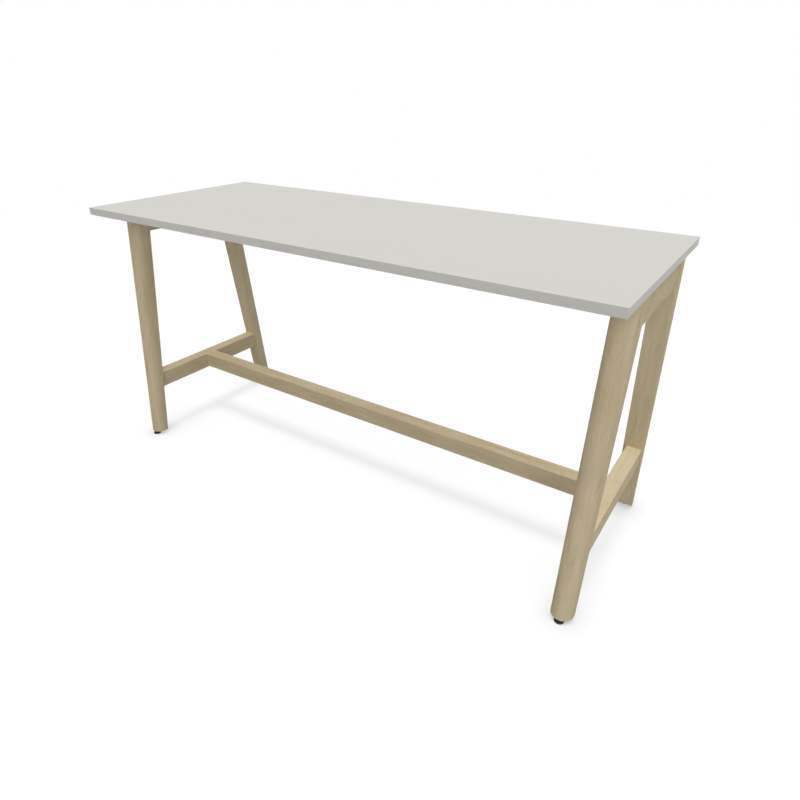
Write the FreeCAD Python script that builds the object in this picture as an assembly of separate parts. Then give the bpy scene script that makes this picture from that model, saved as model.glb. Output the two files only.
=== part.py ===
"""High table: a laminated board on two splayed hardwood trestles that a long stretcher joins.

Units are millimetres. X runs along the table, the front is at -Y, Z is up.
The origin is on the floor under the middle of the board.
"""
import FreeCAD, Part
import math
import os

from FreeCAD import Vector

# Board
TOP_LENGTH = 2100.0
TOP_WIDTH = 820.0
TABLE_HEIGHT = 1055.0
CORE_THICK = 26.0
LAMINATE_THICK = 0.9
EDGE_BAND_THICK = 2.0
EDGE_BAND_ROUND = 1.0

# Trestles
TRESTLE_INSET = 40.0           # from the end of the board to the middle of the legs
LEG_WIDTH = 73.0               # along X, also the diameter of the rounded outer side
LEG_DEPTH_TOP = 75.0           # along Y, under the board
LEG_DEPTH_FOOT = 50.5          # along Y, at the foot
LEG_SPLAY = 7.0                # lean of the flat inner face, in degrees
LEG_TOP_INSET = 208.5          # from the board's long edge to the legs' inner face, under the board
LEG_FOOT_CHAMFER = 1.0
FOOT_HEIGHT = 15.0             # from the floor to the cut end of the legs
WOOD_ROUND = 1.2               # eased edges of legs, rails and stretcher

# Rails and stretcher
RAIL_WIDTH = 55.5
RAIL_OUTSET = 3.0              # of the rails' middle from the legs' middle, towards the table's end
TOP_RAIL_HEIGHT = 92.0
LOWER_RAIL_HEIGHT = 68.5
LOWER_RAIL_TOP = 297.5         # above the floor
STRETCHER_WIDTH = 57.0
STRETCHER_HEIGHT = 65.0

# Loose tenons
LEG_TENON_LENGTH = 60.0        # along Y, half of it in the rail and half in the leg
LEG_TENON_THICK = 12.0
TOP_TENON_HEIGHT = 60.0
LOWER_TENON_HEIGHT = 42.0
STRETCHER_TENON_LENGTH = 50.0  # along X, half of it in the stretcher and half in the rail
STRETCHER_TENON_WIDTH = 36.0
STRETCHER_TENON_THICK = 10.0
STRETCHER_TENON_RISE = 17.0    # of the tenon's middle over the stud
GLUE_GAP = 1.0                 # left past the end of a tenon, an insert or a stem
FIT_CLEARANCE = 0.1            # on each side of tenons, inserts, nuts and screws

# Stretcher bolting
STUD_DIAMETER = 8.0
STUD_IN_RAIL = 28.0
STUD_PAST_NUT = 5.0
STUD_INSERT_DIAMETER = 12.0
STUD_INSERT_LENGTH = 30.0
BARREL_NUT_DIAMETER = 14.0
BARREL_NUT_LENGTH = 22.0
BARREL_NUT_SETBACK = 45.0      # from the end of the stretcher to the middle of the nut

# Board fixing
SCREW_DIAMETER = 6.0
SCREW_HEAD_DIAMETER = 14.0     # a low wide head that needs no washer
SCREW_HEAD_HEIGHT = 4.5
SCREW_SOCKET_WIDTH = 5.0       # across flats
SCREW_SOCKET_DEPTH = 3.0
SCREW_FROM_LEG = 91.5          # from the leg's inner face under the board to the nearest screw
SCREW_WOOD = 35.0              # of the top rail over each screw's head
SCREW_IN_INSERT = 14.0
COUNTERBORE_CLEARANCE = 2.0    # round the screw's head
BOARD_INSERT_DIAMETER = 10.0
BOARD_INSERT_LENGTH = 16.0

# Levelling feet
FOOT_SETBACK = 36.0            # from the leg's inner face to the foot, at the foot
FOOT_INSERT_DIAMETER = 12.0
FOOT_INSERT_LENGTH = 28.0
STEM_DIAMETER = 8.0
STEM_LENGTH = 40.0             # of the thread above the hexagon
STEM_HEX_WIDTH = 14.0          # across flats
STEM_NECK_DIAMETER = 7.0
STEM_HEEL_DIAMETER = 11.0      # the disc that the pad holds
STEM_HEEL_THICK = 2.0
PAD_DIAMETER = 33.0
PAD_RIM = 4.5                  # height of the pad's wide disc
PAD_HEIGHT = 6.0
PAD_BOSS_DIAMETER = 18.0
PAD_FLOOR = 2.0                # under the stem's heel
THREAD_CLEARANCE = 0.08        # radial, of a thread in its insert or nut
PAD_CLEARANCE = 0.08           # round the stem's heel and neck
SEAT_GAP = 0.2                 # under and over the hexagon

# Levels and places that follow from the sizes above
TOP_THICK = CORE_THICK + 2 * LAMINATE_THICK
BOARD_UNDERSIDE = TABLE_HEIGHT - TOP_THICK
LEG_HEIGHT = BOARD_UNDERSIDE - FOOT_HEIGHT
TRESTLE_X = TOP_LENGTH / 2 - TRESTLE_INSET
RAIL_X = TRESTLE_X + RAIL_OUTSET
RAIL_INNER_X = RAIL_X - RAIL_WIDTH / 2
TOP_RAIL_BOTTOM = BOARD_UNDERSIDE - TOP_RAIL_HEIGHT
LOWER_RAIL_BOTTOM = LOWER_RAIL_TOP - LOWER_RAIL_HEIGHT
STRETCHER_Z = LOWER_RAIL_TOP - STRETCHER_HEIGHT / 2
STUD_IN_STRETCHER = BARREL_NUT_SETBACK + BARREL_NUT_DIAMETER / 2 + STUD_PAST_NUT
SPLAY_SLOPE = math.tan(math.radians(LEG_SPLAY))
SIDES = {"left": -1, "right": 1}
ROWS = {"front": -1, "rear": 1}

UP = Vector(0, 0, 1)
DOWN = Vector(0, 0, -1)
ALONG_X = Vector(1, 0, 0)
ALONG_Y = Vector(0, 1, 0)
ORIGIN = Vector(0, 0, 0)
TOUCH = 0.001                  # two places closer than this are the same


def inner_y(z):
    """Distance from the table's middle plane to a leg's flat inner face, at a height."""
    return TOP_WIDTH / 2 - LEG_TOP_INSET + (BOARD_UNDERSIDE - z) * SPLAY_SLOPE


def outer_y(z):
    """Distance from the table's middle plane to the crest of a leg's rounded outer side, at a height."""
    top = inner_y(BOARD_UNDERSIDE) + LEG_DEPTH_TOP
    foot = inner_y(FOOT_HEIGHT) + LEG_DEPTH_FOOT
    return top + (foot - top) * (BOARD_UNDERSIDE - z) / LEG_HEIGHT


FOOT_PLACE = Vector(TRESTLE_X, inner_y(FOOT_HEIGHT) + FOOT_SETBACK, 0)
LEG_END = FOOT_PLACE + UP * FOOT_HEIGHT
STUD_MOUTH = Vector(RAIL_INNER_X, 0, STRETCHER_Z)
NUT_MIDDLE = STUD_MOUTH - ALONG_X * BARREL_NUT_SETBACK
TOP_TENON_Z = BOARD_UNDERSIDE - TOP_RAIL_HEIGHT / 2
LOWER_TENON_Z = LOWER_RAIL_TOP - LOWER_RAIL_HEIGHT / 2


def block(middle, x, y, z):
    """Box of three sizes about its middle."""
    return Part.makeBox(x, y, z, middle - Vector(x, y, z) / 2)


def rod(diameter, length, start, direction=UP):
    """Round rod from a point along a direction."""
    return Part.makeCylinder(diameter / 2, length, start, direction)


def hole(diameter, depth, mouth, direction):
    """Tool for a drilled hole that fits a rod of this diameter."""
    return rod(diameter + 2 * FIT_CLEARANCE, depth, mouth, direction)


def thread_bore(diameter, length, mouth, direction):
    """Tool for the tapped bore that takes a thread of this diameter."""
    return rod(diameter + 2 * THREAD_CLEARANCE, length, mouth, direction)


def sleeve(diameter, length, thread, mouth, direction):
    """Threaded insert: a round sleeve from its mouth along a direction."""
    return rod(diameter, length, mouth, direction).cut(thread_bore(thread, length, mouth, direction))


def turned(points, place):
    """Solid turned about Z from (radius, height) points, standing at a place."""
    outline = Part.makePolygon([Vector(r, 0, z) for r, z in points + points[:1]])
    shape = Part.Face(outline).revolve(ORIGIN, UP, 360)
    shape.translate(place)
    return shape


def hexagon(width, height, place):
    """Hexagonal prism standing at a place, its width measured across flats."""
    reach = width / math.sqrt(3)
    angles = [math.tau * i / 6 for i in range(7)]
    outline = Part.makePolygon([Vector(reach * math.cos(a), reach * math.sin(a), 0) for a in angles])
    shape = Part.Face(outline).extrude(UP * height)
    shape.translate(place)
    return shape


def side_plate(points, middle_x, thick):
    """Plate cut to (y, z) points, its thickness along X."""
    outline = Part.makePolygon([Vector(middle_x - thick / 2, y, z) for y, z in points + points[:1]])
    return Part.Face(outline).extrude(ALONG_X * thick)


def edges_along(shape, direction):
    """Straight edges of a shape that keep to a direction."""
    found = []
    for edge in shape.Edges:
        if isinstance(edge.Curve, Part.Line) and edge.Curve.Direction.cross(direction).Length < TOUCH:
            found.append(edge)
    return found


def mirrored(shape, side_x, side_y):
    """Copy of a shape made at +X and +Y, on the asked sides of the table."""
    if side_x < 0:
        shape = shape.mirror(ORIGIN, ALONG_X)
    if side_y < 0:
        shape = shape.mirror(ORIGIN, ALONG_Y)
    return shape


def leg_tenon(z, height, clearance=0.0, end_gap=0.0):
    """Loose tenon between rail and leg at +X and +Y; with clearances, the tool for its mortises."""
    middle = Vector(RAIL_X, inner_y(z), z)
    grow = 2 * clearance
    return block(middle, LEG_TENON_THICK + grow, LEG_TENON_LENGTH + 2 * end_gap, height + grow)


def leg_mortise(z, height):
    """Tool for the two mortises of one leg tenon."""
    return leg_tenon(z, height, FIT_CLEARANCE, GLUE_GAP)


def stretcher_tenon(clearance=0.0, end_gap=0.0):
    """Loose tenon between stretcher and rail at +X; with clearances, the tool for its mortises."""
    middle = STUD_MOUTH + UP * STRETCHER_TENON_RISE
    grow = 2 * clearance
    return block(middle, STRETCHER_TENON_LENGTH + 2 * end_gap, STRETCHER_TENON_WIDTH + grow,
                 STRETCHER_TENON_THICK + grow)


def stretcher_mortise():
    """Tool for the two mortises of the stretcher's tenon."""
    return stretcher_tenon(FIT_CLEARANCE, GLUE_GAP)


def leg_stock():
    """Half-round stock of the leg at +X and +Y, leaning with the crest of its outer side, past both ends."""
    lean = Vector(0, outer_y(BOARD_UNDERSIDE) - outer_y(FOOT_HEIGHT), LEG_HEIGHT).normalize()
    across = Vector(0, lean.z, -lean.y)
    radius = LEG_WIDTH / 2
    crest = Vector(TRESTLE_X, outer_y(FOOT_HEIGHT), FOOT_HEIGHT) - lean * LEG_WIDTH
    middle = crest - across * radius
    right, left = middle + ALONG_X * radius, middle - ALONG_X * radius
    inward = across * (-LEG_DEPTH_TOP - LEG_WIDTH)
    round_side = Part.Arc(right, crest, left).toShape()
    flats = Part.makePolygon([left, left + inward, right + inward, right])
    section = Part.Face(Part.Wire([round_side] + flats.Edges))
    return section.extrude(lean * (LEG_HEIGHT + 2 * LEG_WIDTH))


def leg_blank():
    """Stock cut level at both ends and along the flat inner face, with its edges eased."""
    low, high = FOOT_HEIGHT, BOARD_UNDERSIDE
    side = [(inner_y(low), low), (outer_y(low) + LEG_WIDTH, low),
            (outer_y(high) + LEG_WIDTH, high), (inner_y(high), high)]
    shape = side_plate(side, TRESTLE_X, 2 * LEG_WIDTH).common(leg_stock()).Solids[0]
    foot_rim = [edge for edge in shape.Edges if edge.BoundBox.ZMax < low + TOUCH]
    shape = shape.makeChamfer(LEG_FOOT_CHAMFER, foot_rim)
    splay = Vector(0, inner_y(high) - inner_y(low), LEG_HEIGHT).normalize()
    arrises = [edge for edge in edges_along(shape, splay)
               if edge.CenterOfMass.y < inner_y(edge.CenterOfMass.z) + TOUCH]
    return shape.makeFillet(WOOD_ROUND, arrises)


def leg():
    """Leg at +X and +Y, mortised for both rails and bored for the foot's insert and stem."""
    shape = leg_blank()
    tools = [leg_mortise(TOP_TENON_Z, TOP_TENON_HEIGHT),
             leg_mortise(LOWER_TENON_Z, LOWER_TENON_HEIGHT),
             hole(FOOT_INSERT_DIAMETER, STEM_LENGTH + GLUE_GAP, LEG_END, UP)]
    return shape.cut(tools)


def rail(bottom, top, mortise):
    """Cross rail at +X between two legs, its ends cut to their splay and mortised."""
    side = [(-inner_y(bottom), bottom), (inner_y(bottom), bottom),
            (inner_y(top), top), (-inner_y(top), top)]
    shape = side_plate(side, RAIL_X, RAIL_WIDTH)
    shape = shape.makeFillet(WOOD_ROUND, edges_along(shape, ALONG_Y))
    return shape.cut([mortise, mirrored(mortise, 1, -1)])


def screw_places():
    """Places of the board screws along the top rail at +X, at the underside of the board."""
    reach = inner_y(BOARD_UNDERSIDE) - SCREW_FROM_LEG
    return [Vector(RAIL_X, y, BOARD_UNDERSIDE) for y in (-reach, reach)]


def top_rail():
    """Top rail at +X, with a deep counterbore and a screw hole under each board screw."""
    shape = rail(TOP_RAIL_BOTTOM, BOARD_UNDERSIDE, leg_mortise(TOP_TENON_Z, TOP_TENON_HEIGHT))
    counterbore = SCREW_HEAD_DIAMETER + 2 * COUNTERBORE_CLEARANCE
    for place in screw_places():
        shape = shape.cut(hole(SCREW_DIAMETER, SCREW_WOOD, place, DOWN))
        shape = shape.cut(rod(counterbore, TOP_RAIL_HEIGHT - SCREW_WOOD, place + DOWN * SCREW_WOOD, DOWN))
    return shape


def lower_rail():
    """Lower rail at +X, mortised and bored on its inner face for the stretcher's tenon and insert."""
    shape = rail(LOWER_RAIL_BOTTOM, LOWER_RAIL_TOP, leg_mortise(LOWER_TENON_Z, LOWER_TENON_HEIGHT))
    insert_hole = hole(STUD_INSERT_DIAMETER, STUD_INSERT_LENGTH + GLUE_GAP, STUD_MOUTH, ALONG_X)
    return shape.cut([stretcher_mortise(), insert_hole])


def stretcher():
    """Long bar between the lower rails, mortised and bored at its ends, and from below for the nuts."""
    shape = block(Vector(0, 0, STRETCHER_Z), 2 * RAIL_INNER_X, STRETCHER_WIDTH, STRETCHER_HEIGHT)
    shape = shape.makeFillet(WOOD_ROUND, edges_along(shape, ALONG_X))
    nut_top = NUT_MIDDLE + UP * (BARREL_NUT_LENGTH / 2)
    tools = [stretcher_mortise(),
             hole(STUD_DIAMETER, STUD_IN_STRETCHER + GLUE_GAP, STUD_MOUTH, ALONG_X * -1),
             hole(BARREL_NUT_DIAMETER, STRETCHER_HEIGHT, nut_top, DOWN)]
    return shape.cut(tools + [mirrored(tool, -1, 1) for tool in tools])


def stud():
    """Threaded stud that draws the stretcher to the rail at +X."""
    start = STUD_MOUTH - ALONG_X * STUD_IN_STRETCHER
    return rod(STUD_DIAMETER, STUD_IN_STRETCHER + STUD_IN_RAIL, start, ALONG_X)


def barrel_nut():
    """Cross nut in the underside of the stretcher at +X."""
    shape = rod(BARREL_NUT_DIAMETER, BARREL_NUT_LENGTH, NUT_MIDDLE + DOWN * (BARREL_NUT_LENGTH / 2))
    mouth = NUT_MIDDLE - ALONG_X * BARREL_NUT_DIAMETER
    return shape.cut(thread_bore(STUD_DIAMETER, 2 * BARREL_NUT_DIAMETER, mouth, ALONG_X))


def board_screw(place):
    """Wide-head screw from the counterbore up into the board insert."""
    seat = place + DOWN * SCREW_WOOD
    head_low = seat + DOWN * SCREW_HEAD_HEIGHT
    shank = rod(SCREW_DIAMETER, SCREW_WOOD + SCREW_IN_INSERT, seat)
    head = rod(SCREW_HEAD_DIAMETER, SCREW_HEAD_HEIGHT, head_low)
    return shank.fuse(head).cut(hexagon(SCREW_SOCKET_WIDTH, SCREW_SOCKET_DEPTH, head_low))


def glide_pad():
    """Glide pad at +X and +Y: a wide disc with a low boss, hollowed for the stem's heel."""
    rim, boss = PAD_DIAMETER / 2, PAD_BOSS_DIAMETER / 2
    heel = STEM_HEEL_DIAMETER / 2 + PAD_CLEARANCE
    neck = STEM_NECK_DIAMETER / 2 + PAD_CLEARANCE
    roof = PAD_FLOOR + STEM_HEEL_THICK + 2 * PAD_CLEARANCE
    outside = [(0, 0), (rim, 0), (rim, PAD_RIM), (boss, PAD_RIM), (boss, PAD_HEIGHT)]
    socket = [(neck, PAD_HEIGHT), (neck, roof), (heel, roof), (heel, PAD_FLOOR), (0, PAD_FLOOR)]
    return turned(outside + socket, FOOT_PLACE)


def stem():
    """Levelling stem at +X and +Y: heel, neck, hexagon and threaded shank in one piece."""
    heel_low = PAD_FLOOR + PAD_CLEARANCE
    hex_low = PAD_HEIGHT + SEAT_GAP
    hex_high = FOOT_HEIGHT - SEAT_GAP
    heel = rod(STEM_HEEL_DIAMETER, STEM_HEEL_THICK, FOOT_PLACE + UP * heel_low)
    neck = rod(STEM_NECK_DIAMETER, hex_low - heel_low, FOOT_PLACE + UP * heel_low)
    nut = hexagon(STEM_HEX_WIDTH, hex_high - hex_low, FOOT_PLACE + UP * hex_low)
    shank = rod(STEM_DIAMETER, STEM_LENGTH, FOOT_PLACE + UP * hex_high)
    return heel.fuse([neck, nut, shank]).removeSplitter()


def board_layer(low, thick):
    """Layer of the board inside the edge bands, from a height up."""
    middle = Vector(0, 0, low + thick / 2)
    return block(middle, TOP_LENGTH - 2 * EDGE_BAND_THICK, TOP_WIDTH - 2 * EDGE_BAND_THICK, thick)


def bored_for_inserts(layer):
    """Layer of the board with the blind holes of all the screw inserts."""
    depth = BOARD_INSERT_LENGTH + GLUE_GAP
    tools = [hole(BOARD_INSERT_DIAMETER, depth, place, UP) for place in screw_places()]
    return layer.cut(tools + [mirrored(tool, -1, 1) for tool in tools])


def edge_band(outward, length, reach):
    """Edge band of a length whose outer face lies at a reach from the middle, with rounded outer edges."""
    along = ALONG_X if outward.x == 0 else ALONG_Y
    size = Vector(abs(outward.x), abs(outward.y), 0) * EDGE_BAND_THICK + along * length + UP * TOP_THICK
    middle = outward * (reach - EDGE_BAND_THICK / 2) + UP * (BOARD_UNDERSIDE + TOP_THICK / 2)
    shape = block(middle, size.x, size.y, size.z)
    outer = [edge for edge in edges_along(shape, along) if edge.CenterOfMass.dot(outward) > reach - TOUCH]
    return shape.makeFillet(EDGE_BAND_ROUND, outer)


def edge_bands():
    """Long bands over the whole length, short bands between them."""
    bands = {}
    between = TOP_WIDTH - 2 * EDGE_BAND_THICK
    for name, side in ROWS.items():
        bands["edge_band_" + name] = edge_band(ALONG_Y * side, TOP_LENGTH, TOP_WIDTH / 2)
    for name, side in SIDES.items():
        bands["edge_band_" + name] = edge_band(ALONG_X * side, between, TOP_LENGTH / 2)
    return bands


def both_sides(shapes):
    """Group of shapes made at +X, with their copies at -X."""
    return Part.makeCompound(shapes + [mirrored(shape, -1, 1) for shape in shapes])


def all_corners(shape):
    """Group of a shape made at +X and +Y, with its copies at the other three corners."""
    return Part.makeCompound([mirrored(shape, x, y) for x in SIDES.values() for y in ROWS.values()])


def grouped_pieces():
    """Small pieces that repeat, each kind as one node of separate solids."""
    places = screw_places()
    board_inserts = [sleeve(BOARD_INSERT_DIAMETER, BOARD_INSERT_LENGTH, SCREW_DIAMETER, place, UP)
                     for place in places]
    stud_insert = sleeve(STUD_INSERT_DIAMETER, STUD_INSERT_LENGTH, STUD_DIAMETER, STUD_MOUTH, ALONG_X)
    foot_insert = sleeve(FOOT_INSERT_DIAMETER, FOOT_INSERT_LENGTH, STEM_DIAMETER, LEG_END, UP)
    return {
        "top_rail_tenons": all_corners(leg_tenon(TOP_TENON_Z, TOP_TENON_HEIGHT)),
        "lower_rail_tenons": all_corners(leg_tenon(LOWER_TENON_Z, LOWER_TENON_HEIGHT)),
        "stretcher_tenons": both_sides([stretcher_tenon()]),
        "stretcher_studs": both_sides([stud()]),
        "stretcher_inserts": both_sides([stud_insert]),
        "stretcher_barrel_nuts": both_sides([barrel_nut()]),
        "board_inserts": both_sides(board_inserts),
        "board_screws": both_sides([board_screw(place) for place in places]),
        "foot_inserts": all_corners(foot_insert),
    }


def build():
    """All nodes of the table by name."""
    nodes = {
        "board_core": bored_for_inserts(board_layer(BOARD_UNDERSIDE + LAMINATE_THICK, CORE_THICK)),
        "top_laminate": board_layer(TABLE_HEIGHT - LAMINATE_THICK, LAMINATE_THICK),
        "backing_laminate": bored_for_inserts(board_layer(BOARD_UNDERSIDE, LAMINATE_THICK)),
        "stretcher": stretcher(),
    }
    nodes.update(edge_bands())
    nodes.update(grouped_pieces())
    rails = {"top_rail": top_rail(), "lower_rail": lower_rail()}
    corner_pieces = {"leg": leg(), "glide_pad": glide_pad(), "levelling_stem": stem()}
    for side, side_x in SIDES.items():
        for name, shape in rails.items():
            nodes[f"{name}_{side}"] = mirrored(shape, side_x, 1)
        for row, side_y in ROWS.items():
            for name, shape in corner_pieces.items():
                nodes[f"{name}_{row}_{side}"] = mirrored(shape, side_x, side_y)
    return nodes


os.makedirs("parts", exist_ok=True)
for node, shape in build().items():
    if not shape.isValid():
        raise ValueError(f"{node} is not a valid shape")
    shape.exportStep(f"parts/{node}.step")
    print(f"{node}: {len(shape.Solids)} solids, {shape.Volume / 1000:.1f} cm3")
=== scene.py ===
# %% [markdown]
# # A high table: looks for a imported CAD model
#
# The CAD model gives every piece of the table its true shape and place, in metres, with the origin on the
# floor under the middle of the board. This lesson dresses that model: it swaps the legs and the levelling
# feet for finer meshes made from formulas, gives each piece a procedural material, lights the table as in
# a white studio and sets the camera to the view of the photograph.

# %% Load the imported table
import math

import bpy
import numpy as np
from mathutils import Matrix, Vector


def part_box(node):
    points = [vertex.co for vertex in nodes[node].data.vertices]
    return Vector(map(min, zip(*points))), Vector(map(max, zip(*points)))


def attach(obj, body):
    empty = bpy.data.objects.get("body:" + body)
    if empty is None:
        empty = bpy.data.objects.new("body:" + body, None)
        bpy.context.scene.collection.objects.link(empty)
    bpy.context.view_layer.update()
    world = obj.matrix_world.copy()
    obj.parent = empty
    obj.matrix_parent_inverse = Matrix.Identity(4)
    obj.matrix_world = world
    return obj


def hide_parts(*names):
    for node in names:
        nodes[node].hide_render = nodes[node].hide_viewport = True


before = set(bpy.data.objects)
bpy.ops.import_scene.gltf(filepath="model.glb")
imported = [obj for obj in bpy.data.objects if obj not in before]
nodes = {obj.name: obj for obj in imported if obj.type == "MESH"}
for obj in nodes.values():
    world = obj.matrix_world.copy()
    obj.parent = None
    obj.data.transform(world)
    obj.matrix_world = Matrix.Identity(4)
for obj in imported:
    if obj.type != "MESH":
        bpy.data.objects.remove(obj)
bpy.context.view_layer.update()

# %% [markdown]
# ## Helpers for meshes
#
# Every new piece below is a grid of points: rows along its surface, columns round its axis. Such a shape
# could also be built from primitives and modifiers, but a grid keeps it a short formula on whole arrays,
# and one function turns any grid into a closed mesh.

# %% Mesh helpers


def grid_object(name, points, smooth_below):
    """Mesh of a (rows, columns, 3) grid that closes round its columns and is capped at both ends.

    Face (i, j) joins point (i, j) to its neighbours (i, j+1), (i+1, j+1) and (i+1, j), columns counted in
    a ring. Edges where the faces turn by more than smooth_below degrees stay sharp.
    """
    rows, columns = points.shape[:2]
    index = np.arange(rows * columns).reshape(rows, columns)
    following = np.roll(index, -1, axis=1)
    quads = np.stack([index[:-1], following[:-1], following[1:], index[1:]], axis=-1).reshape(-1, 4)
    faces = quads.tolist() + [index[0, ::-1].tolist(), index[-1].tolist()]
    mesh = bpy.data.meshes.new(name)
    mesh.from_pydata(points.reshape(-1, 3).tolist(), [], faces)
    mesh.shade_smooth()
    mesh.set_sharp_from_angle(angle=math.radians(smooth_below))
    made = bpy.data.objects.new(name, mesh)
    bpy.context.scene.collection.objects.link(made)
    return made


def stands_for(made, body, node):
    """Lets a new piece ride on a body in the place of a CAD node, which it hides."""
    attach(made, body)
    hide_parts(node)
    return made


def arc(centre, radius, first, last, steps):
    """Points centre + radius (cos t, sin t) of an arc in a plane, t between two angles in degrees."""
    angle = np.radians(np.linspace(first, last, steps))
    return np.stack([centre[0] + radius * np.cos(angle), centre[1] + radius * np.sin(angle)], axis=-1)


def node_middle(name):
    """Middle of a CAD node's box, taken down to its lowest level."""
    low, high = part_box(name)
    return np.array([(low.x + high.x) / 2, (low.y + high.y) / 2, low.z])


print("middle of the stretcher:", node_middle("stretcher").round(4).tolist())

# %% [markdown]
# ## Legs
#
# A leg is one length of hardwood with a flat inner face and a half-round outer side. It leans out and
# becomes thinner towards the foot, where a bore takes the levelling stem. The CAD mesh has the right
# shape, but its rounded side is made of flat strips. A level cut through the leg is a simple closed
# outline, so the skin below carries that outline from the foot to the board and shades it smoothly.

# %% Legs
CORNERS = [f"{row}_{side}" for row in ("front", "rear") for side in ("left", "right")]
LEG_SPLAY = math.radians(7)
LEG_DEPTH_TOP = 0.075
ARRIS_ROUND = 0.0012
FOOT_CHAMFER = 0.001
BORE_RADIUS = 0.0061
BORE_DEPTH = 0.041
ROUND_POINTS = 49
ARRIS_POINTS = 7
LEG_SMOOTH = 8


def leg_outline(inner, outer, half, lean):
    """Outline (x, y) of a level cut through a leg on the table's rear side.

    The outer side is half an ellipse, x = half cos t and y = outer - half / cos(lean) (1 - sin t), because
    a leaning cylinder is cut level. Two small arcs ease the arrises of the inner face.
    """
    turn = np.linspace(0, math.pi, ROUND_POINTS)
    rounded = np.stack([half * np.cos(turn), outer - half / math.cos(lean) * (1 - np.sin(turn))], axis=-1)
    eased = inner + ARRIS_ROUND
    left = arc((ARRIS_ROUND - half, eased), ARRIS_ROUND, 180, 270, ARRIS_POINTS)
    right = arc((half - ARRIS_ROUND, eased), ARRIS_ROUND, 270, 360, ARRIS_POINTS)
    return np.concatenate([rounded, left, right])


def leg_skin(corner):
    """Leg as five rings: end and mouth of the foot's bore, chamfered foot, full section, and top.

    A point of the bore lies on the line from the bore's middle to the outline's point in its column.
    """
    node = f"leg_{corner}"
    low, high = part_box(node)
    near, far = sorted((abs(low.y), abs(high.y)))
    half, height = (high.x - low.x) / 2, high.z - low.z
    foot_inner, top_outer = near + height * math.tan(LEG_SPLAY), near + LEG_DEPTH_TOP
    lean = math.atan2(far - top_outer, height)
    foot = leg_outline(foot_inner + FOOT_CHAMFER, far - FOOT_CHAMFER, half - FOOT_CHAMFER, lean)
    full = leg_outline(foot_inner - FOOT_CHAMFER * math.tan(LEG_SPLAY), far, half, lean)
    top = leg_outline(near, top_outer, half, lean)
    bore_middle = np.array([0, abs(node_middle(f"levelling_stem_{corner}")[1])])
    spoke = foot - bore_middle
    bore = bore_middle + BORE_RADIUS * spoke / np.linalg.norm(spoke, axis=1, keepdims=True)
    rings = np.stack([bore, bore, foot, full, top])
    if low.y < 0:
        rings = rings[:, ::-1] * (1, -1)
    level = low.z + np.array([BORE_DEPTH, 0, 0, FOOT_CHAMFER, height])
    points = np.empty((*rings.shape[:2], 3))
    points[..., :2] = rings + ((low.x + high.x) / 2, 0)
    points[..., 2] = level[:, None]
    return stands_for(grid_object(f"leg_skin_{corner}", points, LEG_SMOOTH), "frame", node)


leg_skins = {f"leg_{corner}": leg_skin(corner) for corner in CORNERS}
print("legs:", {name: len(made.data.polygons) for name, made in leg_skins.items()})

# %% [markdown]
# ## Levelling feet
#
# Each leg stands on a levelling foot of two pieces: a glide pad on the floor and a stem that screws into
# the leg. Both are turned round an axis. A Screw modifier could spin a profile, but with a formula the
# radius can depend on the angle too, as the stem's hexagon and thread need. So one function serves both.

# %% Spinning a profile
FOOT_SMOOTH = 35


def spun(radius, height, centre):
    """Grid whose point (i, j) lies at the angle 2 pi j / columns, at radius[i, j] and at height[i]."""
    angle = np.linspace(0, math.tau, radius.shape[1], endpoint=False)
    x = centre[0] + radius * np.cos(angle)
    y = centre[1] + radius * np.sin(angle)
    z = np.broadcast_to(centre[2] + height[:, None], radius.shape)
    return np.stack([x, y, z], axis=-1)


print("spun pieces are smooth below", FOOT_SMOOTH, "degrees")

# %% [markdown]
# ### Glide pads
#
# A glide pad is a moulded disc with a rounded rim and a low boss, hollowed for the heel of the stem. A
# cylinder with a Bevel modifier would have the rim, but the socket would have to be cut out of it. One
# profile gives all of it: along the floor, round the rim, up the boss and down into the socket.

# %% Glide pads
HEEL_RADIUS = 0.0055
HEEL_THICK = 0.002
NECK_RADIUS = 0.0035
SOCKET_CLEARANCE = 0.00008
RIM_ROUND = 0.0014
RIM_HEIGHT = 0.0045
RIM_POINTS = 8
BOSS_RADIUS = 0.009
BOSS_ROUND = 0.0006
BOSS_POINTS = 5
PAD_COLUMNS = 96


def glide_pad(corner):
    """Pad spun from an (r, z) profile of straight lines and three quarter arcs."""
    node = f"glide_pad_{corner}"
    low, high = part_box(node)
    rim, top = (high.x - low.x) / 2, high.z - low.z
    heel, neck = HEEL_RADIUS + SOCKET_CLEARANCE, NECK_RADIUS + SOCKET_CLEARANCE
    socket_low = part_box(f"levelling_stem_{corner}")[0].z - low.z - SOCKET_CLEARANCE
    socket_high = socket_low + HEEL_THICK + 2 * SOCKET_CLEARANCE
    under = arc((rim - RIM_ROUND, RIM_ROUND), RIM_ROUND, -90, 0, RIM_POINTS)
    over = arc((rim - RIM_ROUND, RIM_HEIGHT - RIM_ROUND), RIM_ROUND, 0, 90, RIM_POINTS)
    boss = arc((BOSS_RADIUS - BOSS_ROUND, top - BOSS_ROUND), BOSS_ROUND, 0, 90, BOSS_POINTS)
    socket = [[neck, top], [neck, socket_high], [heel, socket_high], [heel, socket_low]]
    profile = np.concatenate([under, over, [[BOSS_RADIUS, RIM_HEIGHT]], boss, socket])
    radius = np.repeat(profile[:, :1], PAD_COLUMNS, axis=1)
    points = spun(radius, profile[:, 1], node_middle(node))
    made = grid_object(f"pad_skin_{corner}", points, FOOT_SMOOTH)
    return stands_for(made, f"pad_{corner}", node)


pads = [glide_pad(corner) for corner in CORNERS]
print("glide pads:", [len(pad.data.polygons) for pad in pads])

# %% [markdown]
# ### Threaded stems
#
# A stem is a bolt: a heel in the pad, a neck, a hexagon for a spanner, and a thread. It could be joined
# from a few simple solids, but joints between them leave faces inside. Here the whole stem is one grid,
# and a formula gives the distance from the axis at each height and angle.

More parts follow.
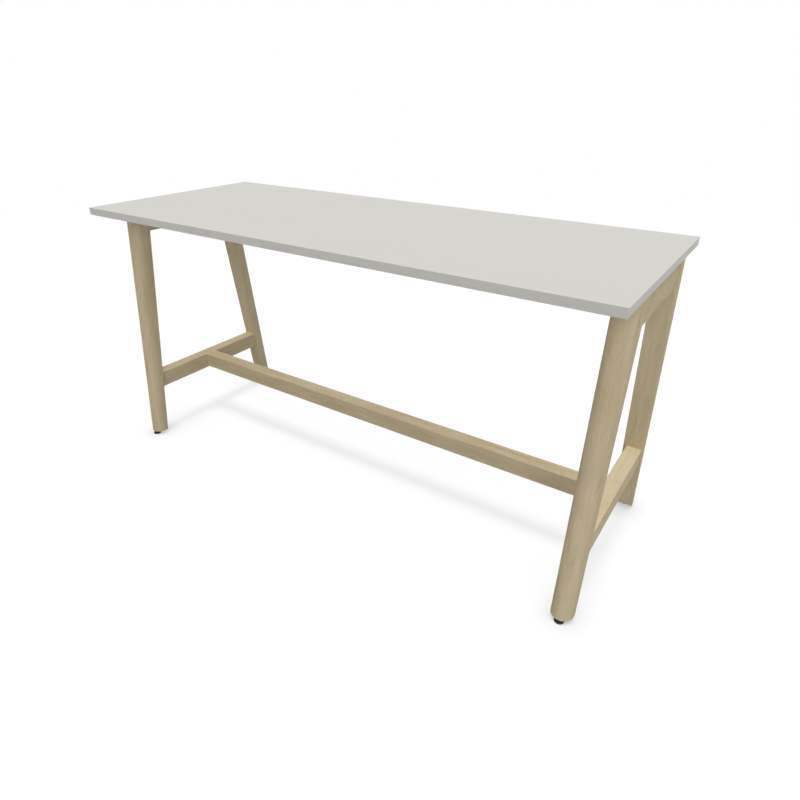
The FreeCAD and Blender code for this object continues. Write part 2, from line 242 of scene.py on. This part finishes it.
# %% Threaded stems
STEM_RADIUS = 0.004
THREAD_PITCH = 0.00125
THREAD_DEPTH = 0.0006
CREST_FLAT = 1 / 8
ROOT_FLAT = 1 / 4
THREAD_ROWS = 8
HEX_SIDES = 6
HEX_WIDTH = 0.014
HEX_LOW = 0.00412
HEX_HIGH = 0.01272
HEX_FACE_RADIUS = 0.0067
HEX_BEVEL = math.radians(30)
HEX_ROWS = 9
STEM_COLUMNS = 48
ROW_GAP = 1e-6


def stem_radius(height, angle):
    """Radius of the stem at heights over its heel and angles round it.

    Heel and neck are discs. The hexagon's radius is half its width over the cosine of the angle from the
    nearest flat, and a bevel cone trims its corners. The thread falls from a flat crest to a flat root and
    back once per pitch, and its place in the pitch climbs with the angle.
    """
    z, a = np.meshgrid(height, angle, indexing="ij")
    flat_turn = math.tau / HEX_SIDES
    from_flat = np.mod(a, flat_turn) - flat_turn / 2
    inset = np.minimum(z - HEX_LOW, HEX_HIGH - z)
    bevel_cone = HEX_FACE_RADIUS + inset / math.tan(HEX_BEVEL)
    hexagon = np.minimum(HEX_WIDTH / 2 / np.cos(from_flat), bevel_cone)
    place = np.mod(z / THREAD_PITCH - a / math.tau, 1)
    from_crest = np.abs(2 * place - 1)
    fall = np.clip((from_crest - CREST_FLAT) / (1 - CREST_FLAT - ROOT_FLAT), 0, 1)
    thread = STEM_RADIUS - THREAD_DEPTH * fall
    zones = [z < HEEL_THICK, z < HEX_LOW, z <= HEX_HIGH]
    return np.select(zones, [HEEL_RADIUS, NECK_RADIUS, hexagon], thread)


def stem(corner):
    """Stem as one spun grid, with two rows close together where the radius steps."""
    node = f"levelling_stem_{corner}"
    low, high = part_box(node)
    length = high.z - low.z
    thread_rows = int((length - HEX_HIGH) / THREAD_PITCH * THREAD_ROWS)
    height = np.concatenate([[0, HEEL_THICK - ROW_GAP, HEEL_THICK, HEX_LOW - ROW_GAP],
                             np.linspace(HEX_LOW, HEX_HIGH, HEX_ROWS),
                             np.linspace(HEX_HIGH + ROW_GAP, length, thread_rows)])
    angle = np.linspace(0, math.tau, STEM_COLUMNS, endpoint=False)
    points = spun(stem_radius(height, angle), height, node_middle(node))
    made = grid_object(f"stem_skin_{corner}", points, FOOT_SMOOTH)
    return stands_for(made, f"stem_{corner}", node)


stems = [stem(corner) for corner in CORNERS]
print("stems:", [len(made.data.polygons) for made in stems])

# %% [markdown]
# ## A small language for shaders
#
# Procedural materials are formulas over the position of a point. They could be clicked together in the
# node editor, but the two classes below let them be written as formulas: a `Value` is the output of a
# shader node, and arithmetic on values adds Math nodes. All other nodes are made by one method of a `Graph`
# that takes the node's type, its settings and what goes into its sockets.

# %% Shader values


class Value:
    """Output of a shader node that can be added, subtracted, multiplied and raised to a power."""

    def __init__(self, graph, socket):
        self.graph = graph
        self.socket = socket

    def math(self, operation, first, second):
        """Math node on two values or numbers."""
        return self.graph.node("ShaderNodeMath", {"operation": operation}, {0: first, 1: second})

    def __add__(self, other):
        return self.math("ADD", self, other)

    def __radd__(self, other):
        return self.math("ADD", other, self)

    def __sub__(self, other):
        return self.math("SUBTRACT", self, other)

    def __rsub__(self, other):
        return self.math("SUBTRACT", other, self)

    def __mul__(self, other):
        return self.math("MULTIPLY", self, other)

    def __rmul__(self, other):
        return self.math("MULTIPLY", other, self)

    def __pow__(self, other):
        return self.math("POWER", self, other)

    def __rpow__(self, other):
        return self.math("POWER", other, self)


print("shader values ready")

# %% Shader graphs


class Graph:
    """Node tree of a new material or world, filled node by node."""

    def __init__(self, owner):
        owner.use_nodes = True
        self.owner = owner
        self.tree = owner.node_tree
        self.tree.nodes.clear()

    def node(self, kind, settings=None, sockets=None, out=0):
        """Adds a node, sets its settings, fills its sockets and returns one of its outputs."""
        made = self.tree.nodes.new(kind)
        for name, setting in (settings or {}).items():
            setattr(made, name, setting)
        for name, content in (sockets or {}).items():
            if isinstance(content, Value):
                self.tree.links.new(content.socket, made.inputs[name])
            else:
                made.inputs[name].default_value = content
        return Value(self, made.outputs[out]) if made.outputs else None

    def position(self, centre=(0, 0, 0), turn=(0, 0, 0), shift=0.0):
        """Point in the object's own frame, seen from a centre, turned, and then shifted along Z."""
        point = self.node("ShaderNodeTexCoord", out="Object")
        moved = self.node("ShaderNodeVectorMath", {"operation": "SUBTRACT"}, {0: point, 1: centre})
        place = {"Vector": moved, "Rotation": turn, "Location": (0, 0, shift)}
        return self.node("ShaderNodeMapping", {}, place)

    def part(self, point, axis):
        """One coordinate of a point."""
        return self.node("ShaderNodeSeparateXYZ", {}, {"Vector": point}, out=axis)

    def stretch(self, point, scale):
        """Point with each axis times its own factor."""
        return self.node("ShaderNodeVectorMath", {"operation": "MULTIPLY"}, {0: point, 1: scale})

    def noise(self, point, scale, detail, roughness):
        """Cloud-like noise from about -0.5 to 0.5; scale counts its patterns per metre on each axis."""
        sockets = {"Vector": self.stretch(point, scale), "Scale": 1.0}
        sockets |= {"Detail": detail, "Roughness": roughness}
        return self.node("ShaderNodeTexNoise", {}, sockets) - 0.5

    def step(self, value, low, high):
        """Smooth step from 0 at low to 1 at high."""
        sockets = {"Value": value, "From Min": low, "From Max": high}
        return self.node("ShaderNodeMapRange", {"interpolation_type": "SMOOTHSTEP"}, sockets)

    def blend(self, share, first, second):
        """Colour between two colours."""
        sockets = {"Factor": share, "A": first, "B": second}
        return self.node("ShaderNodeMix", {"data_type": "RGBA"}, sockets, out="Result")

    def bump(self, height, distance):
        """Normal of a surface raised by a height pattern, at most by a distance in metres."""
        return self.node("ShaderNodeBump", {}, {"Height": height, "Strength": 1.0, "Distance": distance})

    def surface(self, **sockets):
        """Joins a Principled surface to the output; socket names are written with underscores."""
        named = {name.replace("_", " "): content for name, content in sockets.items()}
        shader = self.node("ShaderNodeBsdfPrincipled", {}, named)
        self.node("ShaderNodeOutputMaterial", {}, {"Surface": shader})
        return self.owner


print("shader graphs ready")

# %% Colours and dressing


def new_graph(name):
    """Empty graph of a new material."""
    return Graph(bpy.data.materials.new(name))


def linear(red, green, blue):
    """Linear colour of an sRGB colour given in 0 to 255, by the two pieces of the standard sRGB curve."""
    srgb = np.array([red, green, blue]) / 255
    value = np.where(srgb <= 0.04045, srgb / 12.92, ((srgb + 0.055) / 1.055) ** 2.4)
    return (*value.tolist(), 1.0)


def dress(made, material):
    """Gives an object one material."""
    made.data.materials.clear()
    made.data.materials.append(material)


print("half of full sRGB in linear light:", np.round(linear(127.5, 127.5, 127.5), 3).tolist())

# %% [markdown]
# ## Pale oak
#
# An image wrapped round a timber would show a seam and break at its ends. Wood is a solid pattern: it
# depends on the position in the timber, so the grain runs through the piece and turns into end grain
# where a piece is cut across. The pattern is made along the Z axis and each piece turns it to its own
# length. Growth rings are distances from a pith beside the timber, fibres are noise drawn out along the
# length, pores are the sharpest part of a finer noise, and slow clouds of tone keep a long rail from
# looking even.

# %% Oak
OAK_LIGHT = linear(222, 207, 176)
OAK_DARK = linear(189, 170, 133)
OAK_PORE = linear(166, 144, 108)
OAK_TONE = 0.6
RING_WIDTH = 0.0046
RING_WANDER = 0.03
RING_POWER = 1.6
PITH = (0.085, -0.06)
TIMBER_SHIFT = 0.73

# Patterns per metre across and along the timber, and the detail and roughness of the noise
WANDER = ((9, 9, 1.3), 3.0, 0.5)
CLOUDS = ((20, 20, 5.0), 2.0, 0.5)
STREAKS = ((70, 70, 4.5), 3.0, 0.5)
FLECKS = ((85, 85, 13), 2.0, 0.5)
FIBRES = ((620, 620, 9), 4.0, 0.6)
PORES = ((1500, 1500, 46), 1.0, 0.5)

# Noise at which a fleck or a pore begins, and at which it is full
FLECK_LIMITS = (0.08, 0.22)
PORE_LIMITS = (0.1, 0.24)

# Share of each pattern in the wood's tone
CLOUD_SHARE = 0.8
STREAK_SHARE = 0.7
RING_SHARE = 0.08
FIBRE_SHARE = 0.45
FLECK_SHARE = 0.3
PORE_SHARE = 0.4

# Gloss and roughness of the wood, what fibres and pores add to its roughness, and its relief
OAK_GLOSS = 0.04
OAK_ROUGHNESS = 0.62
FIBRE_ROUGHNESS = 0.2
PORE_ROUGHNESS = 0.1
OAK_RELIEF = 0.00012
FIBRE_HEIGHT = 0.6
STREAK_HEIGHT = 0.2
PORE_DEPTH = 0.7


def oak(name, number, centre=(0, 0, 0), turn=(0, 0, 0), lighter=0.0):
    """Matt pale oak whose grain runs along Z after the turn; each number is another timber.

    The rings are a sine of the distance from the pith, brought to 0 to 1 and raised to a power. The tone
    is the sum of all patterns by their shares, shifted by the piece's painted light and shade, between dark
    and light wood.
    """
    graph = new_graph(name)
    point = graph.position(centre, turn, number * TIMBER_SHIFT)
    across = graph.part(point, "X") + PITH[0] + graph.noise(point, *WANDER) * RING_WANDER
    beside = graph.part(point, "Y") + PITH[1]
    radius = (across * across + beside * beside) ** 0.5
    wave = graph.node("ShaderNodeMath", {"operation": "SINE"}, {0: radius * (math.tau / RING_WIDTH)})
    rings = (wave * 0.5 + 0.5) ** RING_POWER - 0.5
    clouds, streaks, fibres = (graph.noise(point, *pattern) for pattern in (CLOUDS, STREAKS, FIBRES))
    flecks = graph.step(graph.noise(point, *FLECKS), *FLECK_LIMITS)
    pores = graph.step(graph.noise(point, *PORES), *PORE_LIMITS)
    shades = clouds * CLOUD_SHARE + streaks * STREAK_SHARE + rings * RING_SHARE + fibres * FIBRE_SHARE
    tone = shades - flecks * FLECK_SHARE + (OAK_TONE + lighter)
    wood = graph.blend(tone, OAK_DARK, OAK_LIGHT)
    height = fibres * FIBRE_HEIGHT + streaks * STREAK_HEIGHT - pores * PORE_DEPTH
    return graph.surface(Base_Color=graph.blend(pores * PORE_SHARE, wood, OAK_PORE),
                         Roughness=OAK_ROUGHNESS + fibres * FIBRE_ROUGHNESS + pores * PORE_ROUGHNESS,
                         Normal=graph.bump(height, OAK_RELIEF), Specular_IOR_Level=OAK_GLOSS)


print("growth rings per metre:", round(1 / RING_WIDTH))

# %% Direction of the grain
END_SLICE = 0.03


def grain_turn(node):
    """Middle of a wooden piece, and the turn that brings its length onto Z.

    The length runs between the mean points of the two end slices along the piece's longest side.
    """
    mesh = nodes[node].data
    points = np.empty(len(mesh.vertices) * 3)
    mesh.vertices.foreach_get("co", points)
    points = points.reshape(-1, 3)
    low, high = points.min(axis=0), points.max(axis=0)
    middle = ((low + high) / 2).tolist()
    longest = int(np.argmax(high - low))
    if longest == 0:
        return middle, (0, -math.pi / 2, 0)
    place = (points[:, longest] - low[longest]) / (high - low)[longest]
    axis = points[place > 1 - END_SLICE].mean(axis=0) - points[place < END_SLICE].mean(axis=0)
    return middle, (math.atan2(axis[1], axis[2]), 0, 0)


for name in leg_skins:
    print(name, "turn of the grain:", np.degrees(grain_turn(name)[1]).round(1).tolist())

# %% Dress the wooden pieces
WOODEN = ["stretcher", *leg_skins]
WOODEN += [f"{rail}_{side}" for rail in ("lower_rail", "top_rail") for side in ("left", "right")]
TENONS = ["top_rail_tenons", "lower_rail_tenons", "stretcher_tenons"]
# Painted light and shade: these pieces' wood is made lighter where they should catch more light and darker
# where they should lie in more shade
PAINTED_LIGHT_AND_SHADE = {"stretcher": -0.04, "lower_rail_right": 0.08,
               "leg_rear_left": 0.18, "leg_front_left": -0.04}

for number, name in enumerate(WOODEN):
    middle, turn = grain_turn(name)
    finish = oak(f"oak_{name}", number, middle, turn, PAINTED_LIGHT_AND_SHADE.get(name, 0.0))
    dress(leg_skins.get(name, nodes[name]), finish)
tenon_wood = oak("tenon_wood", len(WOODEN))
for name in TENONS:
    dress(nodes[name], tenon_wood)
print("wooden pieces:", WOODEN + TENONS)

# %% [markdown]
# ## Board
#
# The board's faces are one even laminate. A single flat colour would look like paint. What sets laminate
# apart is very fine: a speckle of a few percent, a soft pebbled surface and a slow change of sheen. Noise
# at three scales gives all of these.

# %% Laminate
BOARD_GLOSS = 0.12
BOARD_RELIEF = 0.00002
LAMINATE_TONE = linear(207, 205, 200)
LAMINATE_SPECK = linear(198, 196, 190)
SPECKS = ((900, 900, 900), 1.0, 0.5)
SPECK_LIMITS = (0.0, 0.22)
SPECK_SHARE = 0.5
PEBBLES = ((2600, 2600, 2600), 2.0, 0.5)
SHEEN = ((3, 3, 3), 2.0, 0.5)
LAMINATE_ROUGHNESS = 0.5
SHEEN_ROUGHNESS = 0.08
PEBBLE_ROUGHNESS = 0.1


def laminate(name):
    """Matt laminate with a fine speckle and a pebbled surface."""
    graph = new_graph(name)
    point = graph.position()
    specks = graph.step(graph.noise(point, *SPECKS), *SPECK_LIMITS)
    pebbles = graph.noise(point, *PEBBLES)
    sheen = graph.noise(point, *SHEEN)
    return graph.surface(Base_Color=graph.blend(specks * SPECK_SHARE, LAMINATE_TONE, LAMINATE_SPECK),
                         Roughness=LAMINATE_ROUGHNESS + sheen * SHEEN_ROUGHNESS + pebbles * PEBBLE_ROUGHNESS,
                         Normal=graph.bump(pebbles, BOARD_RELIEF), Specular_IOR_Level=BOARD_GLOSS)


board_laminate = laminate("laminate")
for name in ("top_laminate", "backing_laminate"):
    dress(nodes[name], board_laminate)
print("laminate nodes:", len(board_laminate.node_tree.nodes))

# %% [markdown]
# ### Edge bands
#
# The edge bands are the same plastic, pressed through a slot, which leaves faint marks along their length.
# Their tone is lighter than the laminate's as painted light on the board's sides. The laminate could be
# used again, but the marks need a direction, so the noise is drawn out along each band.

# %% Edge bands
# Painted light: the band's tones are lighter than the laminate's, to light the board's sides
EDGE_TONE_WITH_PAINTED_LIGHT = linear(216, 214, 209)
EDGE_MARK = linear(206, 204, 198)
EDGE_MIDDLE = 0.4
DRAWN_ALONG = 2.0
DRAWN_ACROSS = 700.0
DRAWN_NOISE = (3.0, 0.5)
DRAWN_SHARE = 0.5
EDGE_SPECKS = ((1200, 1200, 1200), 1.0, 0.5)
EDGE_SPECK_SHARE = 0.4
EDGE_ROUGHNESS = 0.46
DRAWN_ROUGHNESS = 0.16
BAND_AXIS = {"front": 0, "rear": 0, "left": 1, "right": 1}


def edge_band(name, along):
    """Edge band: its tone, lightened as painted light on the board's sides, with faint marks drawn along its
    length.
    """
    graph = new_graph(name)
    point = graph.position()
    drawn = tuple(DRAWN_ALONG if axis == along else DRAWN_ACROSS for axis in range(3))
    marks = graph.noise(point, drawn, *DRAWN_NOISE)
    specks = graph.noise(point, *EDGE_SPECKS)
    share = marks * DRAWN_SHARE + specks * EDGE_SPECK_SHARE + EDGE_MIDDLE
    return graph.surface(Base_Color=graph.blend(share, EDGE_TONE_WITH_PAINTED_LIGHT, EDGE_MARK),
                         Roughness=EDGE_ROUGHNESS + marks * DRAWN_ROUGHNESS,
                         Normal=graph.bump(marks, BOARD_RELIEF), Specular_IOR_Level=BOARD_GLOSS)


for side, along in BAND_AXIS.items():
    dress(nodes[f"edge_band_{side}"], edge_band(f"edge_band_{side}", along))
print("edge bands:", sorted(BAND_AXIS))

# %% [markdown]
# ### Core of the board
#
# The core between the laminates is particle board: flat chips of wood, each with a tone of its own. Chips
# could be modelled one by one, but the core is hidden, and the cells of a flattened Voronoi pattern are a
# near likeness.

# %% Core of the board
CHIP_LIGHT = linear(196, 166, 124)
CHIP_DARK = linear(142, 108, 70)
CHIP_SCALE = (260, 260, 900)
CHIP_SHARE = 0.7
CHIP_LEAST = 0.15
CHIP_DUST = ((1500, 1500, 1500), 2.0, 0.5)
CHIP_DUST_SHARE = 0.3
CORE_ROUGHNESS = 0.9
CORE_RELIEF = 0.0002


def particle_board(name):
    """Particle board: cells of chips, each with its own tone, under a fine dust."""
    graph = new_graph(name)
    point = graph.position()
    cells = {"Vector": graph.stretch(point, CHIP_SCALE), "Scale": 1.0}
    tone = graph.part(graph.node("ShaderNodeTexVoronoi", {}, cells, out="Color"), "X")
    share = tone * CHIP_SHARE + graph.noise(point, *CHIP_DUST) * CHIP_DUST_SHARE + CHIP_LEAST
    return graph.surface(Base_Color=graph.blend(share, CHIP_DARK, CHIP_LIGHT),
                         Roughness=CORE_ROUGHNESS, Normal=graph.bump(tone, CORE_RELIEF))


core_board = particle_board("particle_board")
dress(nodes["board_core"], core_board)
print("particle board nodes:", len(core_board.node_tree.nodes))

# %% [markdown]
# ## Moulded plastic
#
# The glide pads are black plastic from a mould with a finely eroded surface, and a little dust sticks to
# them near the floor. The skin is far too fine to model, so a bump of several thousand grains per metre
# stands for it, and a coarser noise places the dust.

# %% Moulded plastic
PLASTIC_BLACK = linear(34, 34, 37)
PLASTIC_DUSTY = linear(74, 73, 72)
SKIN = ((4200, 4200, 4200), 2.0, 0.5)
SKIN_RELIEF = 0.00004
DUST = ((240, 240, 240), 4.0, 0.5)
DUST_LIMITS = (-0.02, 0.25)
DUST_SHARE = 0.35
PLASTIC_ROUGHNESS = 0.44
DUST_ROUGHNESS = 0.2
SKIN_ROUGHNESS = 0.1


def moulded(name):
    """Moulded plastic: a fine skin, a little dust and a soft sheen."""
    graph = new_graph(name)
    point = graph.position()
    skin = graph.noise(point, *SKIN)
    dust = graph.step(graph.noise(point, *DUST), *DUST_LIMITS)
    return graph.surface(Base_Color=graph.blend(dust * DUST_SHARE, PLASTIC_BLACK, PLASTIC_DUSTY),
                         Roughness=PLASTIC_ROUGHNESS + dust * DUST_ROUGHNESS + skin * SKIN_ROUGHNESS,
                         Normal=graph.bump(skin, SKIN_RELIEF))


black_plastic = moulded("black_plastic")
for made in pads:
    dress(made, black_plastic)
print("plastic pads:", len(pads))

# %% [markdown]
# ## Plated steel
#
# The stems are blackened steel, and the hidden screws, studs, nuts and inserts are zinc-plated. Both
# finishes have a cloudy sheen over fine marks from turning, so one function makes them, with other tones
# and another share of metal.

# %% Plated steel
STEEL_BLACK = linear(52, 52, 55)
STEEL_DULL = linear(30, 30, 33)
STEEL_METALLIC = 0.6
ZINC_BRIGHT = linear(205, 206, 208)
ZINC_DULL = linear(158, 160, 164)
ZINC_METALLIC = 1.0
SHEEN_CLOUDS = ((420, 420, 420), 3.0, 0.5)
TURNING_MARKS = ((60, 60, 5200), 2.0, 0.5)
TURNING_RELIEF = 0.00002
PLATED_ROUGHNESS = 0.34
CLOUD_ROUGHNESS = 0.24
TURNING_ROUGHNESS = 0.12
ZINC_NODES = ["stretcher_studs", "stretcher_inserts", "stretcher_barrel_nuts",
              "board_inserts", "board_screws", "foot_inserts"]


def plated(name, bright, dull, metallic):
    """Plated steel: bright metal under cloudy patches and fine turning marks round the Z axis."""
    graph = new_graph(name)
    point = graph.position()
    clouds = graph.noise(point, *SHEEN_CLOUDS)
    marks = graph.noise(point, *TURNING_MARKS)
    return graph.surface(Base_Color=graph.blend(clouds + 0.5, dull, bright), Metallic=metallic,
                         Roughness=PLATED_ROUGHNESS + clouds * CLOUD_ROUGHNESS + marks * TURNING_ROUGHNESS,
                         Normal=graph.bump(marks, TURNING_RELIEF))


black_steel = plated("black_steel", STEEL_BLACK, STEEL_DULL, STEEL_METALLIC)
zinc_steel = plated("zinc_steel", ZINC_BRIGHT, ZINC_DULL, ZINC_METALLIC)
for made in stems:
    dress(made, black_steel)
for name in ZINC_NODES:
    dress(nodes[name], zinc_steel)
print("steel stems:", len(stems), "hidden metal nodes:", len(ZINC_NODES))

# %% [markdown]
# ## Floor
#
# The photograph shows the table on white, with a faint shade on the floor straight under the low rails and
# round the feet, and none from the board high above. A white floor under studio light would show the
# board's shadow too. So this floor lets most of the white backdrop through, for rays that show the
# background, and the rest of its white comes from a sun of its own, which the board doesn't block. It is
# less clear close to the feet, where Ambient Occlusion finds something near: a painted shade. A foot that
# is screwed out below the floor's level can still be seen. Away from the table the floor fades into the
# backdrop, so that its edge doesn't show. Other rays meet a grey floor that sends little light back up, so
# the table's sides stay darker than its top.

# %% Floor


def grey(level):
    """Grey of a linear level, white at 1."""
    return (level, level, level, 1.0)


WHITE = grey(1.0)
FLOOR_REACH = 12.0
FLOOR_FADE = (2.5, 8.0)
FLOOR_CLEAR = grey(0.78)
FLOOR_SHADED = grey(0.42)
FLOOR_LIT = grey(0.05)
FLOOR_BOUNCE = grey(0.4)
CONTACT_REACH = 0.1
CONTACT_SAMPLES = 8


def background_rays(graph):
    """Over 0 for rays that show the background: seen directly, in a gloss or through a clear part."""
    camera, glossy, clear = (graph.node("ShaderNodeLightPath", out=f"Is {kind} Ray")
                             for kind in ("Camera", "Glossy", "Transmission"))
    return camera + glossy + clear


def clear_floor(graph):
    """Floor by the table: lets the backdrop through, less of it near the feet as painted shade, and takes
    the sun's light.
    """
    search = {"Distance": CONTACT_REACH}
    # Painted shade: less of the backdrop comes through where Ambient Occlusion finds the feet near
    openness = graph.node("ShaderNodeAmbientOcclusion", {"samples": CONTACT_SAMPLES}, search, out="AO")
    through = graph.blend(openness, FLOOR_SHADED, FLOOR_CLEAR)
    clear = graph.node("ShaderNodeBsdfTransparent", {}, {"Color": through})
    lit = graph.node("ShaderNodeBsdfDiffuse", {}, {"Color": FLOOR_LIT})
    return graph.node("ShaderNodeAddShader", {}, {0: clear, 1: lit})


def floor_material():
    """Clear floor that fades out with the distance from the origin, and is grey for all other rays."""
    graph = new_graph("floor")
    away = graph.node("ShaderNodeVectorMath", {"operation": "LENGTH"}, {0: graph.position()}, out="Value")
    faded = graph.step(away, *FLOOR_FADE)
    backdrop = graph.node("ShaderNodeBsdfTransparent", {}, {"Color": WHITE})
    shown = graph.node("ShaderNodeMixShader", {}, {0: faded, 1: clear_floor(graph), 2: backdrop})
    bounce = graph.node("ShaderNodeBsdfDiffuse", {}, {"Color": FLOOR_BOUNCE})
    mixed = graph.node("ShaderNodeMixShader", {}, {0: background_rays(graph), 1: bounce, 2: shown})
    graph.node("ShaderNodeOutputMaterial", {}, {"Surface": mixed})
    return graph.owner


floor_mesh = bpy.data.meshes.new("floor")
floor_points = FLOOR_REACH * np.array([[-1, -1, 0], [1, -1, 0], [1, 1, 0], [-1, 1, 0]])
floor_mesh.from_pydata(floor_points.tolist(), [], [(0, 1, 2, 3)])
floor = bpy.data.objects.new("floor", floor_mesh)
bpy.context.scene.collection.objects.link(floor)
dress(floor, floor_material())
print("floor:", 2 * FLOOR_REACH, "m wide")

# %% The floor's own sun
FLOOR_SUN = 11.3
FLOOR_SUN_WIDTH = math.radians(20)
FLOOR_SUN_TILT = math.radians(2.6)


def linked(name, objects):
    """Collection that tells a light which objects it concerns."""
    collection = bpy.data.collections.new(name)
    for made in objects:
        collection.objects.link(made)
    return collection


sun_data = bpy.data.lights.new("floor_sun", "SUN")
sun_data.energy = FLOOR_SUN
sun_data.angle = FLOOR_SUN_WIDTH
sun_data.cycles.max_bounces = 0
floor_sun = bpy.data.objects.new("floor_sun", sun_data)
floor_sun.rotation_euler = (FLOOR_SUN_TILT, 0, 0)
bpy.context.scene.collection.objects.link(floor_sun)
low_wood = [leg_skins.get(name, nodes[name]) for name in WOODEN if not name.startswith("top_rail")]
low_pieces = low_wood + pads + stems
floor_sun.light_linking.receiver_collection = linked("floor_alone", [floor])
floor_sun.light_linking.blocker_collection = linked("low_pieces", low_pieces)
print("pieces that shade the floor:", len(low_pieces))

# %% [markdown]
# ## Light
#
# An even white sky lights everything from above. Two wide soft lights give the table its shape: one over
# its right end lights the board and the ends of the rails, one beside the camera lights the fronts. In
# the photograph the low rails are nearly as light on top as what stands free of the board, so a fill from
# above shines without a shadow. All three lights are far off, so the board's tone stays even along it.

# %% Light
SKY_STRENGTH = 0.36
LIGHT_AIM = (0.2, 0.0, 0.6)
LIGHT_WIDTH = 14.0

# Place of each light, its power in watts, and whether it casts a shadow
LIGHTS = {
    "over_right_end": ((8.6, -2.0, 21.8), 1240.0, True),
    "beside_camera": ((10.2, -18.6, 13.4), 1580.0, True),
    "fill_from_above": ((0.2, 0.0, 23.4), 1950.0, False),
}


def soft_light(name, place, power, shadow):
    """Square area light turned to shine at the table, with or without a shadow."""
    data = bpy.data.lights.new(name, "AREA")
    data.size = LIGHT_WIDTH
    data.energy = power
    data.use_shadow = shadow
    made = bpy.data.objects.new(name, data)
    made.location = place
    x, y, z = np.array(LIGHT_AIM) - np.array(place)
    made.rotation_euler = (math.atan2(math.hypot(x, y), -z), 0, math.atan2(-x, y))
    bpy.context.scene.collection.objects.link(made)


def studio_sky():
    """World that shines evenly and shows as white."""
    world = bpy.data.worlds.new("studio")
    graph = Graph(world)
    sky = graph.node("ShaderNodeBackground", {}, {"Color": WHITE, "Strength": SKY_STRENGTH})
    backdrop = graph.node("ShaderNodeBackground", {}, {"Color": WHITE, "Strength": 1.0})
    mixed = graph.node("ShaderNodeMixShader", {}, {0: background_rays(graph), 1: sky, 2: backdrop})
    graph.node("ShaderNodeOutputWorld", {}, {"Surface": mixed})
    return world


bpy.context.scene.world = studio_sky()
for name, (place, power, shadow) in LIGHTS.items():
    soft_light(name, place, power, shadow)
print("sky:", SKY_STRENGTH, "lights:", sorted(LIGHTS))

# %% [markdown]
# ## Camera
#
# The camera stands in front of the table and to the right of its middle, with the lens 1.5 m above the
# floor and pointed down. Its place, turn and focal length were found by fitting the corners of the board,
# the legs and the rails to their places in the photograph, so the render can be laid over it.

# %% Camera
CAMERA_PLACE = (1.32666, -1.72332, 1.49582)
CAMERA_YAW = 0.594968
CAMERA_PITCH = -0.495646
FOCAL_PIXELS = 590.112
IMAGE_PIXELS = 800
SENSOR_MM = 36.0

camera_data = bpy.data.cameras.new("camera")
camera_data.sensor_width = SENSOR_MM
camera_data.lens = FOCAL_PIXELS / IMAGE_PIXELS * SENSOR_MM
camera = bpy.data.objects.new("camera", camera_data)
camera.location = CAMERA_PLACE
camera.rotation_euler = (math.pi / 2 + CAMERA_PITCH, 0, CAMERA_YAW)
bpy.context.scene.collection.objects.link(camera)
bpy.context.scene.camera = camera
bpy.context.scene.view_settings.view_transform = "Standard"
print("lens:", round(camera_data.lens, 2), "mm")
